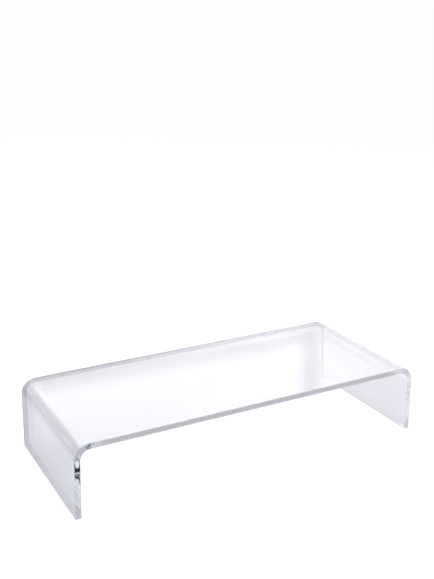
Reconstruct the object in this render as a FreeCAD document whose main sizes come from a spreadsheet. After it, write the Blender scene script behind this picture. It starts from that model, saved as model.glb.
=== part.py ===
import FreeCAD, Part
import math
import os

import Sketcher

# A low display riser: one clear acrylic sheet, heat-bent along two straight lines, so that a
# flat shelf stands on two legs. It has no feet, fasteners or glued joints.
# The origin is on the floor under the middle of the shelf. +X runs along the shelf's long
# side, -Y is the front and +Z is up.

DRIVING_DIMENSIONS = {
    "shelf_width": (508, "mm across the outsides of the two bends"),
    "shelf_depth": (216, "mm from the front edge to the back edge"),
    "riser_height": (100, "mm from the floor to the top of the shelf"),
    "sheet_thickness": (8, "mm, the stock sheet"),
    "inner_bend_radius": (14, "mm, on the underside of each bend"),
    "leg_splay": (3, "degrees that each leg leans outwards, as the sheet springs back"),
    "arris_radius": (0.8, "mm, the polished rounding of every edge of the sheet"),
}
SHEET_NAME = "riser_sheet"


def add_spreadsheet(doc):
    """Writes each driving dimension into a row of the sheet: its alias, value and meaning."""
    sheet = doc.addObject("Spreadsheet::Sheet", "Dimensions")
    for row, (alias, (value, meaning)) in enumerate(DRIVING_DIMENSIONS.items(), start=1):
        sheet.set(f"A{row}", alias)
        sheet.set(f"B{row}", str(value))
        sheet.set(f"C{row}", meaning)
        sheet.setAlias(f"B{row}", alias)
    doc.recompute()
    return sheet


def origin_plane(body, role):
    """The body's own origin plane with that role, such as XZ_Plane."""
    return next(item for item in body.Origin.OriginFeatures if item.Role == role)


class Profile:
    """The sheet's outline, seen from the front, as a fully constrained sketch."""

    FLOOR = -1
    CENTRE_LINE = -2
    START = 1
    END = 2
    CENTRE = 3

    def __init__(self, body, sheet):
        self.sketch = body.newObject("Sketcher::SketchObject", "SheetProfile")
        self.sketch.AttachmentSupport = [(origin_plane(body, "XZ_Plane"), "")]
        self.sketch.MapMode = "FlatFace"
        self.height = sheet.riser_height
        self.thickness = sheet.sheet_thickness
        self.inner_radius = sheet.inner_bend_radius
        self.outer_radius = self.inner_radius + self.thickness
        self.centre_height = self.height - self.outer_radius
        self.centre_offset = sheet.shelf_width / 2 - self.outer_radius
        self.splay = math.radians(sheet.leg_splay)

    def line(self, start, end):
        return self.sketch.addGeometry(
            Part.LineSegment(FreeCAD.Vector(*start, 0), FreeCAD.Vector(*end, 0))
        )

    def bend_arc(self, side, radius):
        """A bend's arc, from the leg to the shelf on the right and from shelf to leg on the left."""
        first = self.splay if side > 0 else math.pi / 2
        last = math.pi / 2 if side > 0 else math.pi - self.splay
        centre = FreeCAD.Vector(side * self.centre_offset, self.centre_height, 0)
        circle = Part.Circle(centre, FreeCAD.Vector(0, 0, 1), radius)
        return self.sketch.addGeometry(Part.ArcOfCircle(circle, first, last))

    def leg_line(self, side, radius):
        """One face of a leg, from its bend down to the floor."""
        upper_x = self.centre_offset + radius * math.cos(self.splay)
        upper_z = self.centre_height + radius * math.sin(self.splay)
        lower_x = upper_x + upper_z * math.tan(self.splay)
        return self.line((side * upper_x, upper_z), (side * lower_x, 0))

    def constrain(self, kind, *arguments):
        return self.sketch.addConstraint(Sketcher.Constraint(kind, *arguments))

    def drive(self, name, expression, kind, *arguments):
        """Adds a named dimension and binds it to the spreadsheet."""
        index = self.constrain(kind, *arguments)
        self.sketch.renameConstraint(index, name)
        self.sketch.setExpression(f"Constraints.{name}", expression)

    def draw_face(self, level, radius):
        """One face of the sheet: its flat stretch, then a bend and a leg on each side."""
        flat = self.line((-self.centre_offset, level), (self.centre_offset, level))
        face = {"flat": flat, "bend": {}, "leg": {}}
        self.constrain("Horizontal", flat)
        for side in (-1, 1):
            bend = self.bend_arc(side, radius)
            leg = self.leg_line(side, radius)
            to_leg, to_flat = (self.START, self.END) if side > 0 else (self.END, self.START)
            flat_end = self.END if side > 0 else self.START
            self.constrain("Tangent", flat, flat_end, bend, to_flat)
            self.constrain("Tangent", bend, to_leg, leg, self.START)
            face["bend"][side] = bend
            face["leg"][side] = leg
        return face

    def draw(self):
        outer = self.draw_face(self.height, self.outer_radius)
        inner = self.draw_face(self.height - self.thickness, self.inner_radius)
        for side in (-1, 1):
            foot = self.line(self.foot_corner(outer, side), self.foot_corner(inner, side))
            self.constrain("Coincident", outer["leg"][side], self.END, foot, self.START)
            self.constrain("Coincident", inner["leg"][side], self.END, foot, self.END)
            self.constrain(
                "Coincident", outer["bend"][side], self.CENTRE, inner["bend"][side], self.CENTRE
            )
            self.constrain("Parallel", outer["leg"][side], inner["leg"][side])
            self.constrain("PointOnObject", inner["leg"][side], self.END, self.FLOOR)
        self.constrain("PointOnObject", outer["leg"][1], self.END, self.FLOOR)
        for part, point in (("bend", self.CENTRE), ("leg", self.END)):
            self.constrain(
                "Symmetric", outer[part][-1], point, outer[part][1], point, self.CENTRE_LINE
            )
        self.drive(
            "height", "Dimensions.riser_height",
            "DistanceY", self.FLOOR, self.START, outer["flat"], self.END, self.height,
        )
        self.drive(
            "thickness", "Dimensions.sheet_thickness",
            "DistanceY", inner["flat"], self.END, outer["flat"], self.END, self.thickness,
        )
        self.drive(
            "inner_radius", "Dimensions.inner_bend_radius",
            "Radius", inner["bend"][1], self.inner_radius,
        )
        self.drive(
            "bend_spacing",
            "Dimensions.shelf_width"
            " - 2 * (Dimensions.inner_bend_radius + Dimensions.sheet_thickness)",
            "DistanceX", outer["bend"][-1], self.CENTRE, outer["bend"][1], self.CENTRE,
            2 * self.centre_offset,
        )
        self.drive(
            "leg_run",
            "(Dimensions.riser_height - Dimensions.inner_bend_radius"
            " - Dimensions.sheet_thickness) * tan(Dimensions.leg_splay * 1 deg)"
            " + (Dimensions.inner_bend_radius + Dimensions.sheet_thickness)"
            " / cos(Dimensions.leg_splay * 1 deg)",
            "DistanceX", outer["bend"][1], self.CENTRE, outer["leg"][1], self.END,
            self.centre_height * math.tan(self.splay) + self.outer_radius / math.cos(self.splay),
        )
        return self.sketch

    def foot_corner(self, face, side):
        corner = self.sketch.getPoint(face["leg"][side], self.END)
        return (corner.x, corner.y)


def build_riser_sheet(doc, sheet):
    """The whole riser: the bent outline padded to its depth, with every sharp edge rounded."""
    body = doc.addObject("PartDesign::Body", SHEET_NAME)
    body.Label = SHEET_NAME
    profile = Profile(body, sheet).draw()

    pad = body.newObject("PartDesign::Pad", "BentSheet")
    pad.Profile = profile
    pad.setExpression("Length", "Dimensions.shelf_depth")
    pad.SideType = "Symmetric"

    arris = body.newObject("PartDesign::Fillet", "PolishedEdges")
    arris.Base = (pad, [""])
    arris.UseAllEdges = True
    arris.setExpression("Radius", "Dimensions.arris_radius")
    return body


def check(doc):
    """Stops with a message if any feature failed or made an invalid shape."""
    for item in doc.Objects:
        if {"Invalid", "Error"} & set(item.State):
            raise RuntimeError(f"{item.Label} did not recompute: {item.State}")
        shape = getattr(item, "Shape", None)
        if shape is not None and (shape.isNull() or not shape.isValid()):
            raise RuntimeError(f"{item.Label} has a broken shape")


doc = FreeCAD.newDocument("ShelfRiser")
dimensions = add_spreadsheet(doc)
riser = build_riser_sheet(doc, dimensions)
doc.recompute()
check(doc)

os.makedirs("parts", exist_ok=True)
riser.Shape.exportStep(f"parts/{riser.Label}.step")
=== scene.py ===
import math

import bmesh
import bpy
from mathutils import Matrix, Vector

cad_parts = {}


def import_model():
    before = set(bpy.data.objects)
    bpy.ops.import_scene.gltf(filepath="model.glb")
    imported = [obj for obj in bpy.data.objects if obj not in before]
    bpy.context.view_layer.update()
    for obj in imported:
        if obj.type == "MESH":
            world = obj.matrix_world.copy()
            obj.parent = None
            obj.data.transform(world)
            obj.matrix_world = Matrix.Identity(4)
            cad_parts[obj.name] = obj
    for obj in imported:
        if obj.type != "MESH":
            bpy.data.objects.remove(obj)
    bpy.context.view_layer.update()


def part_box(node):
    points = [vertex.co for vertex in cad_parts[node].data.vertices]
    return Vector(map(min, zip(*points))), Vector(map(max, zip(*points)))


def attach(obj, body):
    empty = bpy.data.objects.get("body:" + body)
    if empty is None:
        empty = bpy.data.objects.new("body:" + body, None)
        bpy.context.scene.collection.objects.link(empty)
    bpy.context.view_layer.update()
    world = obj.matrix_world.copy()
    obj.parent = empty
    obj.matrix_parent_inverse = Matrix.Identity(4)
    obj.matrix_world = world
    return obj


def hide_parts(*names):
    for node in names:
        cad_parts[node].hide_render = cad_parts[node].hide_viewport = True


# A clear acrylic riser, one heat-bent sheet, on a pale floor in a soft white studio.
# Metres throughout, in the CAD model's frame: +X along the shelf, -Y to the front, +Z up.

SHEET_NODE = "riser_sheet"

# The sheet, as the CAD model has it; its outside sizes are read from the frame.
SHEET_THICKNESS = 0.008
INNER_BEND_RADIUS = 0.014
OUTER_BEND_RADIUS = INNER_BEND_RADIUS + SHEET_THICKNESS
LEG_SPLAY = math.radians(3)
ARRIS_RADIUS = 0.0008

# How finely the sheet is divided.
FLAT_STEPS = 44
BEND_STEPS = 36
LEG_STEPS = 80
ARRIS_STEPS = 5
DEPTH_STEPS = 16
THICKNESS_STEPS = 12

# What bending and polishing do to the sheet's cut edges: the outside of each bend is drawn in, and
# ripples run along the edge. A ripple has its pitch in radians per metre, its shift from the
# front edge to the back one, and its shift through the thickness.
BEND_DRAW_IN = 0.0006
BEND_DRAW_LENGTH = 0.012
RIPPLE_HEIGHT = 0.000004
RIPPLES = ((190, 1, 0), (317, 2.1, 2), (71, -1, 1))

# A place on the sheet counts as cut edge by how far its normal turns from the sheet's own.
CUT_EDGE_START = 0.2
CUT_EDGE_FULL = 0.8

# How satin the cut edges are. The front edge begins to clear POLISH_LEAD before each bend, and is
# duller again in the middle of the bend. The back edge clears towards the right.
EDGE_SATIN = 0.85
FRONT_LEG_SATIN = 0.1
POLISH_LEAD = 0.02
BEND_BLEND = 0.004
MID_BEND_DULLNESS = 0.7
MID_BEND_REACH = 0.008
BACK_SHELF_CLARITY = 0.4
BACK_SHELF_CLARITY_START = -0.14
BACK_SHELF_CLARITY_END = 0.06
BACK_LEG_CLARITY = 0.5

# The satin end of each foot's front edge: it is higher at the outer face.
FOOT_SATIN = 0.5
FOOT_HEIGHT = 0.010
FOOT_SLANT = 0.012
FOOT_SOFTNESS = 0.0015

# A painted shade line, soft and dark, down the inner side of each leg's back edge: how strong it is,
# how dark, how far before the bend it begins, and how far it reaches in shares of the thickness.
LEFT_BACK_LINE = 0.2
RIGHT_BACK_LINE = 0.65
BACK_LINE_SHADE = -0.3
BACK_LINE_LEAD = 0.01
BACK_LINE_FULL = 0.30
BACK_LINE_END = 0.50

# How strong the front edge's painted flashes are (light and dark reflections painted into the
# colour), where they begin before each bend, where they fade below it, and how their noise is slanted
# and drawn out.
LEFT_GLINT = 1.0
RIGHT_GLINT = 0.3
GLINT_START = 0.012
GLINT_FULL = 0.003
GLINT_FADE = 0.3
GLINT_FADE_START = 0.020
GLINT_FADE_END = 0.055
LEG_FLASH_LIFT = 0.12
LEG_FLASH_START = 0.012
LEG_FLASH_FULL = 0.03
FLASH_SLANT = 0.005
FLASH_STRETCH = 0.35

# The painted shade stripe round each bend, darker and lavender: its place and reach, in shares of the
# bend.
PAINTED_STRIPE_PLACE = 0.74
PAINTED_STRIPE_REACH = 0.07

# Painted flashes on the front edge around each bend, light and dark reflections painted into the
# colour: the place down from the bend's end, the share of the thickness, how far it reaches along the
# edge and through the thickness, and how much it lifts or lowers the shade. They stand in for light
# that has run the depth of the sheet.
PAINTED_EDGE_FLASHES = (
    (-0.032, 0.6, 0.004, 0.6, 0.14),
    (-0.023, 0.4, 0.004, 0.6, -0.06),
    (0.003, 0.5, 0.0032, 0.5, 0.35),
    (0.006, 0.5, 0.003, 0.18, 0.70),
    (0.006, 1.0, 0.004, 0.22, -0.60),
    (0.006, 0.0, 0.0035, 0.2, -0.60),
    (0.0105, 0.5, 0.0024, 0.9, -0.60),
    (0.0148, 0.5, 0.0015, 0.9, 0.12),
    (0.0195, 0.85, 0.002, 0.2, -0.30),
    (0.018, 0.42, 0.0025, 0.10, -0.24),
    (0.022, 0.30, 0.0025, 0.10, -0.32),
    (0.026, 0.18, 0.0025, 0.10, -0.32),
    (0.029, 0.08, 0.0025, 0.10, -0.32),
)

# How the polished faces and the satin edge of the acrylic look.
ACRYLIC_INDEX = 1.49
FACE_ALPHA = 0.42
EDGE_ALPHA = 1.0
FACE_TINT = (0.98, 0.981, 0.985)
# The painted shade colour of the stripe round each bend.
PAINTED_STRIPE_COLOUR = (0.34, 0.32, 0.50)
SATIN_TINT = (0.41, 0.41, 0.435)
SATIN_HAZE = 0.8
POLISHED_ROUGHNESS = 0.0
SATIN_ROUGHNESS = 0.35
FACE_WEAR = 0.08
FACE_WEAR_SCALE = 14
FACE_WEAR_DETAIL = 4.0
DEPTH_TINT = (0.0, 0.05, 0.25)
DEPTH_DENSITY = 3

# The painted flashes' noise, and the painted colour, from black to white, that each level of it
# gives.
GLINT_SCALE = 420
GLINT_DETAIL = 2.0
GLINT_DISTORTION = 2.0
PAINTED_FLASH_COLOURS = (
    (0.38, (0.004, 0.005, 0.012)),
    (0.44, (0.02, 0.035, 0.16)),
    (0.50, (0.36, 0.37, 0.42)),
    (0.64, (0.86, 0.90, 0.94)),
)

WHITE = (1, 1, 1, 1)

# The floor's plane lies just under the feet, so that the two don't share a face.
FLOOR_REACH = 200
FLOOR_COLOUR = (0.80, 0.802, 0.848)
FLOOR_ROUGHNESS = 0.9
FLOOR_LIFT = 0.27
FLOOR_DROP = 0.0004

# The white studio tent: where its back and right walls stand.
TENT_BACK = 0.80
TENT_RIGHT = 0.715
TENT_LEFT = -1.2
TENT_FRONT = -0.9
TENT_TOP = 1.7
WALL_GAP = 0.001

# How brightly the walls glow: above and below a seam, less towards the floor, into the corner
# where they meet, and left of a line that leans.
CLOTH_COLOUR = (1.0, 1.0, 1.01)
WALL_GLOW = 3.9
BACK_WALL_SHADE = 2.2
RIGHT_WALL_SHADE = 3.6
WALL_SEAM = 0.447
WALL_SEAM_SLOPE = 0.025
WALL_SOFTNESS = 0.016
GAP_TOP = 0.22
GAP_SOFTNESS = 0.1
BACK_GAP_GLOW = 0.0
RIGHT_GAP_GLOW = 1.0
CORNER_SOFTNESS = 0.07
CORNER_GLOW = 0.48
SIDE_SHADE = 0.5
SIDE_SHADE_LEAN = 0.608
SIDE_SHADE_START = -0.175
SIDE_SHADE_END = -0.19

# The white world, and the soft lamp that makes the faint shadow.
WORLD_GLOW = 0.9
KEY_PLACE = (0.7, 0.5, 1.3)
KEY_SIZE = (1.4, 1.0)
KEY_POWER = 8

# The camera stands off the left front corner and looks down at the middle of the riser.
CAMERA_AZIMUTH = math.radians(-28.23)
CAMERA_ELEVATION = math.radians(26.04)
CAMERA_DISTANCE = 1.204
CAMERA_TARGET = Vector((0, 0, 0.05))
CAMERA_LENS = 52.55
CAMERA_SENSOR = 36
CAMERA_SHIFT = (-0.0055, 0.1996)

# Enough bounces for light to run the depth of the sheet between its faces.
CLEAR_BOUNCES = 48
GLOSSY_BOUNCES = 32
DIFFUSE_BOUNCES = 4


class Station:
    """One place along the sheet's length: its two faces, and the sheet's normal and length so far."""

    def __init__(self, outer, inner, normal, length):
        self.outer = outer
        self.inner = inner
        self.normal = normal
        self.length = length


def half_profile(half_foot_width, height):
    """Stations from the middle of the shelf to where the right foot's rounding starts.
    Vectors are (x, z)."""
    splay = LEG_SPLAY
    centre_height = height - OUTER_BEND_RADIUS
    leg_run = centre_height * math.tan(splay) + OUTER_BEND_RADIUS / math.cos(splay)
    rounding = ARRIS_RADIUS * ((1 + math.sin(splay)) / math.cos(splay) - 1)
    centre = Vector((half_foot_width + rounding - leg_run, centre_height))
    neutral_radius = (OUTER_BEND_RADIUS + INNER_BEND_RADIUS) / 2
    stations = []
    for i in range(FLAT_STEPS):
        x = centre.x * i / FLAT_STEPS
        up = Vector((0, 1))
        stations.append(
            Station(Vector((x, height)), Vector((x, height - SHEET_THICKNESS)), up, x)
        )
    bend_angle = math.pi / 2 - splay
    for i in range(BEND_STEPS + 1):
        angle = bend_angle * i / BEND_STEPS
        normal = Vector((math.sin(angle), math.cos(angle)))
        outer = centre + normal * OUTER_BEND_RADIUS
        inner = centre + normal * INNER_BEND_RADIUS
        stations.append(Station(outer, inner, normal, centre.x + neutral_radius * angle))
    top = stations[-1]
    down = Vector((math.sin(splay), -math.cos(splay)))
    rise = top.normal.y * ARRIS_RADIUS
    outer_run = (top.outer.y - rise - ARRIS_RADIUS) / math.cos(splay)
    inner_run = (top.inner.y + rise - ARRIS_RADIUS) / math.cos(splay)
    for i in range(1, LEG_STEPS + 1):
        share = i / LEG_STEPS
        stations.append(
            Station(
                top.outer + down * (outer_run * share),
                top.inner + down * (inner_run * share),
                top.normal,
                top.length + outer_run * share,
            )
        )
    return stations


def mirrored(station):
    """The same station on the left side."""

    def flip(vector):
        return Vector((-vector.x, vector.y))

    return Station(
        flip(station.outer), flip(station.inner), flip(station.normal), -station.length
    )


def foot_corner(station, start, face, across):
    """Outline points of the rounding from a leg's face, whose normal is face, to its underside."""
    under = Vector((0, -1))
    centre = start - face * ARRIS_RADIUS
    normals = [face.slerp(under, i / ARRIS_STEPS) for i in range(1, ARRIS_STEPS + 1)]
    return [
        (centre + normal * ARRIS_RADIUS, normal, station.length, across) for normal in normals
    ]


def outline(stations):
    """The closed outline as (point, outward normal, station's length, share of the thickness)."""
    right, left = stations[-1], stations[0]
    loop = [(station.outer, station.normal, station.length, 1.0) for station in stations]
    loop += foot_corner(right, right.outer, right.normal, 1.0)
    loop += reversed(foot_corner(right, right.inner, -right.normal, 0.0))
    loop += [
        (station.inner, -station.normal, station.length, 0.0) for station in reversed(stations)
    ]
    loop += foot_corner(left, left.inner, -left.normal, 0.0)
    loop += reversed(foot_corner(left, left.outer, left.normal, 1.0))
    return loop


def smoothstep(low, high, value):
    share = min(max((value - low) / (high - low), 0.0), 1.0)
    return share * share * (3 - 2 * share)


def bump(value, centre, width):
    return math.exp(-(((value - centre) / width) ** 2))


def draw_in(length, across, bend_start, bend_end, side):
    """How far the cut edge sits inside its nominal plane. Bending stretches the sheet's outer
    face and narrows it there, and hand polishing leaves a faint ripple."""
    distance = abs(length)
    rise = smoothstep(bend_start - BEND_DRAW_LENGTH, bend_start + BEND_DRAW_LENGTH, distance)
    fall = smoothstep(bend_end - BEND_DRAW_LENGTH, bend_end + BEND_DRAW_LENGTH, distance)
    bend = BEND_DRAW_IN * (rise - fall) * across
    waves = sum(
        math.sin(length * pitch + turn * side + twist * across) for pitch, turn, twist in RIPPLES
    )
    return bend + RIPPLE_HEIGHT * (len(RIPPLES) + waves) / 2


class SheetMesh:
    """Builds the sheet as one closed surface with exact normals."""

    NORMAL_LAYER = "exact_normal"
    CUT_EDGE_LAYER = "cut_edge"
    SATIN_LAYER = "satin"
    PAINTED_LIGHT_LAYER = "painted_light"
    PAINTED_LIGHT_LEVEL_LAYER = "painted_light_level"
    PLACE_LAYER = "edge_place"
    PAINTED_STRIPE_LAYER = "painted_bend_stripe"
    VECTOR_LAYERS = (NORMAL_LAYER, PLACE_LAYER)
    NUMBER_LAYERS = (CUT_EDGE_LAYER, SATIN_LAYER, PAINTED_LIGHT_LAYER, PAINTED_LIGHT_LEVEL_LAYER, PAINTED_STRIPE_LAYER)
    DERIVATIVE_STEP = 1e-4
    WELD_DISTANCE = 1e-7

    def __init__(self, half_foot_width, depth, height):
        right = half_profile(half_foot_width, height)
        self.stations = [mirrored(station) for station in reversed(right[1:])] + right
        self.loop = outline(self.stations)
        self.half_depth = depth / 2
        self.bend_start = right[FLAT_STEPS].length
        self.bend_end = right[FLAT_STEPS + BEND_STEPS].length
        self.leg_end = right[-1].length
        self.bm = bmesh.new()
        layers = self.bm.verts.layers
        self.layers = {name: layers.float_vector.new(name) for name in self.VECTOR_LAYERS}
        self.layers |= {name: layers.float.new(name) for name in self.NUMBER_LAYERS}

    def edge_depth(self, length, across, side):
        return draw_in(length, across, self.bend_start, self.bend_end, side)

    def vertex(self, point, y, normal, length, across, side):
        """A vertex at (x, z) point and depth y. Near a cut edge, side is -1 or 1 and the edge's
        draw-in moves and tilts it; elsewhere side is 0."""
        sheet_normal = self.sheet_normal(length)
        facing = abs(normal.x * sheet_normal.x + normal.z * sheet_normal.y)
        if side:
            step = self.DERIVATIVE_STEP
            here = self.edge_depth(length, across, side)
            along = (self.edge_depth(length + step, across, side) - here) / step
            through = (self.edge_depth(length, across + step, side) - here) / step
            tangent = Vector((sheet_normal.y, -sheet_normal.x))
            slope = tangent * along + sheet_normal * (through / SHEET_THICKNESS)
            tilt = Vector((slope.x, 0, slope.y)) * abs(normal.y)
            normal = (normal + tilt).normalized()
            y -= side * here
        cut = smoothstep(CUT_EDGE_START, CUT_EDGE_FULL, 1 - facing)
        values = {
            self.NORMAL_LAYER: normal,
            self.CUT_EDGE_LAYER: cut,
            self.PAINTED_STRIPE_LAYER: (1 - cut) * self.painted_bend_stripe(length),
            self.SATIN_LAYER: cut * self.satin_share(length, across, side),
            # Painted light: the flashes and the dark back line are painted into the cut edge's
            # colour.
            self.PAINTED_LIGHT_LAYER: cut * self.painted_light_share(length, across, side),
            self.PAINTED_LIGHT_LEVEL_LAYER: self.painted_light_level(length, across, side),
            self.PLACE_LAYER: self.painted_flash_place(length, across),
        }
        vert = self.bm.verts.new((point.x, y, point.y))
        for name, value in values.items():
            vert[self.layers[name]] = value
        return vert

    def painted_flash_place(self, length, across):
        """Where the painted flashes' noise is read: its pattern slants, and is drawn out across the
        edge.
        """
        slant = abs(length) + FLASH_SLANT * across
        return Vector((slant, FLASH_STRETCH * across * SHEET_THICKNESS, 0))

    def satin_share(self, length, across, side):
        """How satin the cut edge is. The feet's undersides are sawn. The back edge clears towards
        the right, and the front edge of each bend and leg is flame-polished, down to a slanting
        line just above the foot."""
        if side == 0:
            return 1.0
        if side > 0:
            along = smoothstep(BACK_SHELF_CLARITY_START, BACK_SHELF_CLARITY_END, length)
            down = smoothstep(self.bend_start, self.bend_end, length)
            return EDGE_SATIN * (1 - BACK_SHELF_CLARITY * along) * (1 - BACK_LEG_CLARITY * down)
        distance = abs(length)
        start = self.bend_start
        polished = smoothstep(start - POLISH_LEAD, start + BEND_BLEND, distance)
        polished *= 1 - MID_BEND_DULLNESS * self.mid_bend(distance)
        foot = FOOT_SATIN * self.foot(length, across)
        return EDGE_SATIN * (1 - polished * (1 - FRONT_LEG_SATIN) * (1 - foot))

    def mid_bend(self, distance):
        """1 in the middle of a bend and 0 away from it."""
        return bump(distance, (self.bend_start + self.bend_end) / 2, MID_BEND_REACH)

    def foot(self, length, across):
        """1 at the foot's satin end and 0 above it."""
        line = self.leg_end - FOOT_HEIGHT - FOOT_SLANT * across
        return smoothstep(line - FOOT_SOFTNESS, line + FOOT_SOFTNESS, abs(length))

    def painted_light_share(self, length, across, side):
        """How much of the cut edge's colour is painted light: the painted flashes on the front edge
        of each bend and leg, and a painted shade line along the inner side of the back edge."""
        if side == 0:
            return 0.0
        distance = abs(length)
        start = self.bend_start
        if side > 0:
            # A painted shade line on the back edge of each leg.
            leg = smoothstep(start - BACK_LINE_LEAD, start + BEND_BLEND, distance)
            strength = LEFT_BACK_LINE if length < 0 else RIGHT_BACK_LINE
            return strength * leg * (1 - smoothstep(BACK_LINE_FULL, BACK_LINE_END, across))
        bend = smoothstep(start - GLINT_START, start - GLINT_FULL, distance)
        bend *= 1 - MID_BEND_DULLNESS * self.mid_bend(distance)
        down = distance - self.bend_end
        fade = smoothstep(GLINT_FADE_START, GLINT_FADE_END, down)
        strength = LEFT_GLINT if length < 0 else RIGHT_GLINT
        return strength * bend * (1 - GLINT_FADE * fade) * (1 - self.foot(length, across))

    def painted_light_level(self, length, across, side):
        """How much lighter or darker the painted flashes and the painted shade line are at that place
        on the cut edge.
        """
        if side > 0:
            return BACK_LINE_SHADE
        down = abs(length) - self.bend_end
        # A painted lighter sheen down each leg's front edge.
        painted_leg_lift = LEG_FLASH_LIFT * smoothstep(LEG_FLASH_START, LEG_FLASH_FULL, down)
        return painted_leg_lift + sum(
            lift * bump(down, place, reach) * bump(across, share, spread)
            for place, share, reach, spread, lift in PAINTED_EDGE_FLASHES
        )

    def painted_bend_stripe(self, length):
        """How strongly each bend carries its painted shade: a soft darker stripe near its lower end.
        """
        share = (abs(length) - self.bend_start) / (self.bend_end - self.bend_start)
        return bump(share, PAINTED_STRIPE_PLACE, PAINTED_STRIPE_REACH)

    def sheet_normal(self, length):
        """The sheet's outward normal at that length from the middle of the shelf."""
        distance = abs(length)
        share = (distance - self.bend_start) / (self.bend_end - self.bend_start)
        angle = min(max(share, 0.0), 1.0) * (math.pi / 2 - LEG_SPLAY)
        return Vector((math.copysign(math.sin(angle), length), math.cos(angle)))

    def ring(self, y, inset, turn, side):
        """The outline at depth y, drawn in by inset, with its normals turned towards the cut edge."""
        verts = []
        for point, normal, length, across in self.loop:
            flat = Vector((normal.x, 0, normal.y)) * math.cos(turn)
            tilted = flat + Vector((0, side * math.sin(turn), 0))
            verts.append(self.vertex(point - normal * inset, y, tilted, length, across, side))
        return verts

    def rings(self):
        """Rings from the front cut edge to the back one."""
        shoulder = self.half_depth - ARRIS_RADIUS
        turns = [math.pi / 2 * i / ARRIS_STEPS for i in range(ARRIS_STEPS + 1)]

        def arris(turn, side):
            inset = ARRIS_RADIUS * (1 - math.cos(turn))
            return self.ring(
                side * (shoulder + ARRIS_RADIUS * math.sin(turn)), inset, turn, side
            )

        front = [arris(turn, -1) for turn in reversed(turns)]
        middle = [
            self.ring(shoulder * (2 * i / DEPTH_STEPS - 1), 0, 0, 0)
            for i in range(1, DEPTH_STEPS)
        ]
        back = [arris(turn, 1) for turn in turns]
        return front + middle + back

    def skin(self, rings):
        for near, far in zip(rings, rings[1:]):
            for i, corner in enumerate(near):
                after = (i + 1) % len(near)
                self.bm.faces.new((corner, near[after], far[after], far[i]))

    def cap_column(self, station, outer, inner, side):
        """A grid line through the sheet's thickness, from the outer vertex to the inner one."""
        column = [outer]
        for j in range(1, THICKNESS_STEPS):
            flat = (SHEET_THICKNESS - 2 * ARRIS_RADIUS) * j / THICKNESS_STEPS
            share = (ARRIS_RADIUS + flat) / SHEET_THICKNESS
            column.append(
                self.vertex(
                    station.outer.lerp(station.inner, share),
                    side * self.half_depth,
                    Vector((0, side, 0)),
                    station.length,
                    1 - share,
                    side,
                )
            )
        return column + [inner]

    def cap_face(self, corners, side):
        self.bm.faces.new(corners if side > 0 else corners[::-1])

    def cap(self, ring, side):
        """The cut edge's flat: a grid along the sheet, and one face down to the line of each foot."""
        count = len(self.stations)
        inner_start = count + 2 * ARRIS_STEPS
        columns = []
        for i, station in enumerate(self.stations):
            outer, inner = ring[i], ring[inner_start + count - 1 - i]
            at_foot = i in (0, count - 1)
            columns.append(
                [outer, inner] if at_foot else self.cap_column(station, outer, inner, side)
            )
        for left, right in zip(columns, columns[1:]):
            if len(left) != len(right):
                self.cap_face(right + left[::-1], side)
                continue
            for j in range(THICKNESS_STEPS):
                self.cap_face([left[j], right[j], right[j + 1], left[j + 1]], side)

    def build(self, name):
        rings = self.rings()
        self.skin(rings)
        self.cap(rings[0], -1)
        self.cap(rings[-1], 1)
        bmesh.ops.remove_doubles(self.bm, verts=self.bm.verts, dist=self.WELD_DISTANCE)
        mesh = bpy.data.meshes.new(name)
        self.bm.to_mesh(mesh)
        self.bm.free()
        mesh.shade_smooth()
        normals = [item.vector.copy() for item in mesh.attributes[self.NORMAL_LAYER].data]
        mesh.attributes.remove(mesh.attributes[self.NORMAL_LAYER])
        mesh.normals_split_custom_set_from_vertices(normals)
        piece = bpy.data.objects.new(name, mesh)
        bpy.context.scene.collection.objects.link(piece)
        return piece


def feed(tree, socket, value):
    """Links an input to the output that feeds it, or sets it to a number or a colour."""
    if isinstance(value, bpy.types.NodeSocket):
        tree.links.new(value, socket)
    else:
        socket.default_value = value


def feed_all(tree, node, values):
    for name, value in values.items():
        feed(tree, node.inputs[name], value)


def layer(tree, name, output="Fac"):
    """What one of the mesh's own layers holds at that place."""
    node = tree.nodes.new("ShaderNodeAttribute")
    node.attribute_name = name
    return node.outputs[output]


def maths(tree, operation, *values, clamp=False):
    node = tree.nodes.new("ShaderNodeMath")
    node.operation = operation
    node.use_clamp = clamp
    for socket, value in zip(node.inputs, values):
        feed(tree, socket, value)
    return node.outputs[0]


def map_range(tree, value, low, high, first, last, kind="LINEAR"):
    """Goes from first to last as value goes from low to high."""
    node = tree.nodes.new("ShaderNodeMapRange")
    node.interpolation_type = kind
    feed_all(tree, node, {
        "Value": value, "From Min": low, "From Max": high, "To Min": first, "To Max": last,
    })
    return node.outputs["Result"]


def mix_colours(tree, factor, first, second):
    node = tree.nodes.new("ShaderNodeMix")
    node.data_type = "RGBA"
    feed_all(tree, node, {"Factor": factor, "A": first, "B": second})
    return node.outputs["Result"]


def noise(tree, place, scale, detail, distortion=0.0):
    node = tree.nodes.new("ShaderNodeTexNoise")
    feed_all(tree, node, {
        "Vector": place, "Scale": scale, "Detail": detail, "Distortion": distortion,
    })
    return node.outputs["Fac"]


def colour_ramp(tree, value, stops):
    """A ramp through (position, colour) stops. It has two at first, and the others go between."""
    node = tree.nodes.new("ShaderNodeValToRGB")
    elements = node.color_ramp.elements
    for position, _ in stops[1:-1]:
        elements.new(position)
    for element, (position, colour) in zip(elements, stops):
        element.position = position
        element.color = (*colour, 1)
    feed(tree, node.inputs["Fac"], value)
    return node.outputs["Color"]


def new_material(name):
    material = bpy.data.materials.new(name)
    material.use_nodes = True
    return material, material.node_tree, material.node_tree.nodes["Principled BSDF"]


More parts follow.
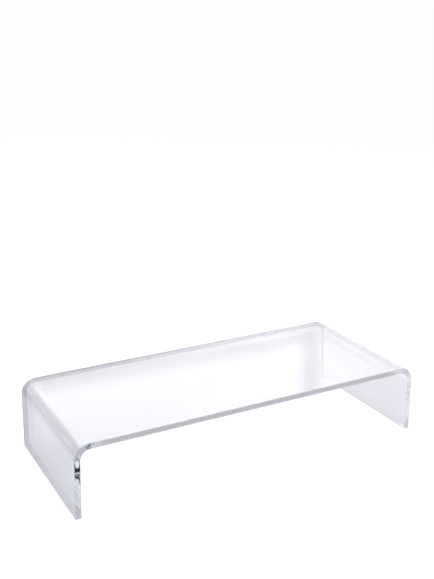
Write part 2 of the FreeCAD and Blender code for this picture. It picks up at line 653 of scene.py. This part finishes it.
def acrylic_roughness(tree, satin):
    """Handling leaves the polished faces a little less than mirror-smooth, in soft patches."""
    place = tree.nodes.new("ShaderNodeTexCoord").outputs["Object"]
    smudges = noise(tree, place, FACE_WEAR_SCALE, FACE_WEAR_DETAIL)
    wear = maths(tree, "MULTIPLY_ADD", smudges, FACE_WEAR, satin)
    return map_range(tree, wear, 0, 1, POLISHED_ROUGHNESS, SATIN_ROUGHNESS)


def acrylic_colour(tree, satin, painted_light):
    """Near white on the faces, with a painted shade stripe round each bend, grey where satin, and
    with the painted flashes and painted shade line.
    """
    place = layer(tree, SheetMesh.PLACE_LAYER, "Vector")
    # Painted flashes: noise ramped from black to white stands in for reflections on the front edge.
    painted_flash_noise = noise(tree, place, GLINT_SCALE, GLINT_DETAIL, GLINT_DISTORTION)
    level = maths(tree, "ADD", painted_flash_noise, layer(tree, SheetMesh.PAINTED_LIGHT_LEVEL_LAYER))
    painted_flash = colour_ramp(tree, level, PAINTED_FLASH_COLOURS)
    painted_stripe = layer(tree, SheetMesh.PAINTED_STRIPE_LAYER)
    # Painted shade: a darker lavender stripe round each bend.
    face = mix_colours(tree, painted_stripe, (*FACE_TINT, 1), (*PAINTED_STRIPE_COLOUR, 1))
    plain = mix_colours(tree, satin, face, (*SATIN_TINT, 1))
    return mix_colours(tree, painted_light, plain, painted_flash)


def acrylic():
    """Clear cast acrylic with a cool tint in its depth. The faces let part of the light straight
    through and refract the rest, and the cut edge is less clear where it is satin or carries painted
    flashes and the painted shade line."""
    material, tree, shader = new_material("clear_acrylic")
    cut = layer(tree, SheetMesh.CUT_EDGE_LAYER)
    satin = layer(tree, SheetMesh.SATIN_LAYER)
    painted_light = layer(tree, SheetMesh.PAINTED_LIGHT_LAYER)
    haze = maths(tree, "MULTIPLY", satin, SATIN_HAZE)
    solid = maths(tree, "MAXIMUM", painted_light, haze)
    feed_all(tree, shader, {
        "IOR": ACRYLIC_INDEX,
        "Alpha": map_range(tree, cut, 0, 1, FACE_ALPHA, EDGE_ALPHA),
        "Roughness": acrylic_roughness(tree, satin),
        "Base Color": acrylic_colour(tree, satin, painted_light),
        "Transmission Weight": maths(tree, "SUBTRACT", 1.0, solid),
    })
    depth = tree.nodes.new("ShaderNodeVolumeAbsorption")
    feed_all(tree, depth, {"Color": (*DEPTH_TINT, 1), "Density": DEPTH_DENSITY})
    tree.links.new(depth.outputs["Volume"], tree.nodes["Material Output"].inputs["Volume"])
    return material


def pale_floor():
    """Pale lavender-grey through the sheet, lifted to white where it is seen directly, as a
    product picture's ground is."""
    material, tree, shader = new_material("pale_floor")
    path = tree.nodes.new("ShaderNodeLightPath").outputs
    direct = maths(
        tree, "SUBTRACT", path["Is Camera Ray"], path["Transparent Depth"], clamp=True
    )
    feed_all(tree, shader, {
        "Base Color": (*FLOOR_COLOUR, 1),
        "Roughness": FLOOR_ROUGHNESS,
        "Specular IOR Level": 0.0,
        "Emission Color": WHITE,
        "Emission Strength": maths(tree, "MULTIPLY", direct, FLOOR_LIFT),
    })
    material.cycles.emission_sampling = "NONE"
    return material


def tent_cloth(name, shade, gap_glow):
    """White cloth that glows evenly, less below its seam and in its shaded places."""
    material = bpy.data.materials.new(name)
    material.use_nodes = True
    tree = material.node_tree
    tree.nodes.clear()
    place = tree.nodes.new("ShaderNodeNewGeometry")
    split = tree.nodes.new("ShaderNodeSeparateXYZ")
    tree.links.new(place.outputs["Position"], split.inputs[0])
    x, y, z = split.outputs
    rise = maths(tree, "MULTIPLY_ADD", x, -WALL_SEAM_SLOPE, z)
    lean = maths(tree, "MULTIPLY_ADD", z, SIDE_SHADE_LEAN, x)
    strength = WALL_GLOW
    for value, low, high, first, last in (
        (rise, WALL_SEAM - WALL_SOFTNESS, WALL_SEAM + WALL_SOFTNESS, shade / WALL_GLOW, 1),
        (z, GAP_TOP - GAP_SOFTNESS, GAP_TOP + GAP_SOFTNESS, gap_glow, 1),
        (x, TENT_RIGHT - CORNER_SOFTNESS, TENT_RIGHT, 1, CORNER_GLOW),
        (y, TENT_BACK - CORNER_SOFTNESS, TENT_BACK, 1, CORNER_GLOW),
        (lean, SIDE_SHADE_END, SIDE_SHADE_START, SIDE_SHADE, 1),
    ):
        share = map_range(tree, value, low, high, first, last, "SMOOTHSTEP")
        strength = maths(tree, "MULTIPLY", strength, share)
    glow = tree.nodes.new("ShaderNodeEmission")
    feed_all(tree, glow, {"Color": (*CLOTH_COLOUR, 1), "Strength": strength})
    out = tree.nodes.new("ShaderNodeOutputMaterial")
    tree.links.new(glow.outputs[0], out.inputs["Surface"])
    return material


def plane(name, corners, material):
    """A flat card of the stage."""
    mesh = bpy.data.meshes.new(name)
    mesh.from_pydata(corners, [], [(0, 1, 2, 3)])
    mesh.materials.append(material)
    card = bpy.data.objects.new(name, mesh)
    bpy.context.scene.collection.objects.link(card)
    return card


def build_floor():
    corners = [(-1, -1), (1, -1), (1, 1), (-1, 1)]
    plane(
        "floor",
        [(x * FLOOR_REACH, y * FLOOR_REACH, -FLOOR_DROP) for x, y in corners],
        pale_floor(),
    )


def build_wall(name, first, last, cloth):
    """A wall of the tent over the floor from one (x, y) place to another. It is seen only in
    reflections and through the sheet."""
    wall = plane(name, [(*first, 0), (*last, 0), (*last, TENT_TOP), (*first, TENT_TOP)], cloth)
    wall.visible_camera = False
    wall.visible_diffuse = False
    wall.visible_shadow = False
    wall.visible_volume_scatter = False


def build_tent():
    build_wall(
        "tent_back", (TENT_LEFT, TENT_BACK), (TENT_RIGHT, TENT_BACK),
        tent_cloth("tent_back", BACK_WALL_SHADE, BACK_GAP_GLOW),
    )
    build_wall(
        "tent_right", (TENT_RIGHT, TENT_BACK - WALL_GAP), (TENT_RIGHT, TENT_FRONT),
        tent_cloth("tent_right", RIGHT_WALL_SHADE, RIGHT_GAP_GLOW),
    )


def build_world():
    world = bpy.data.worlds.new("studio")
    bpy.context.scene.world = world
    world.use_nodes = True
    background = world.node_tree.nodes["Background"]
    background.inputs["Color"].default_value = WHITE
    background.inputs["Strength"].default_value = WORLD_GLOW


def build_key_light():
    lamp = bpy.data.lights.new("softbox", "AREA")
    lamp.shape = "RECTANGLE"
    lamp.size, lamp.size_y = KEY_SIZE
    lamp.energy = KEY_POWER
    light = bpy.data.objects.new("softbox", lamp)
    light.location = KEY_PLACE
    light.rotation_euler = (-light.location).to_track_quat("-Z", "Y").to_euler()
    light.visible_camera = False
    bpy.context.scene.collection.objects.link(light)


def build_camera():
    data = bpy.data.cameras.new("camera")
    data.lens = CAMERA_LENS
    data.sensor_width = CAMERA_SENSOR
    data.shift_x, data.shift_y = CAMERA_SHIFT
    data.clip_end = 2 * FLOOR_REACH
    camera = bpy.data.objects.new("camera", data)
    level = math.cos(CAMERA_ELEVATION)
    away = Vector((
        math.sin(CAMERA_AZIMUTH) * level,
        -math.cos(CAMERA_AZIMUTH) * level,
        math.sin(CAMERA_ELEVATION),
    ))
    camera.location = CAMERA_TARGET + away * CAMERA_DISTANCE
    camera.rotation_euler = (-away).to_track_quat("-Z", "Y").to_euler()
    bpy.context.scene.collection.objects.link(camera)
    bpy.context.scene.camera = camera


def build_riser():
    low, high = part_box(SHEET_NODE)
    piece = SheetMesh(high.x, high.y - low.y, high.z).build("acrylic_sheet")
    piece.data.materials.append(acrylic())
    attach(piece, "root")
    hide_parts(SHEET_NODE)


def set_light_paths():
    scene = bpy.context.scene
    scene.view_settings.view_transform = "Standard"
    scene.cycles.max_bounces = CLEAR_BOUNCES
    scene.cycles.transmission_bounces = CLEAR_BOUNCES
    scene.cycles.glossy_bounces = GLOSSY_BOUNCES
    scene.cycles.diffuse_bounces = DIFFUSE_BOUNCES
    scene.cycles.use_denoising = True


def main():
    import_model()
    build_riser()
    build_floor()
    build_tent()
    build_world()
    build_key_light()
    build_camera()
    set_light_paths()


main()
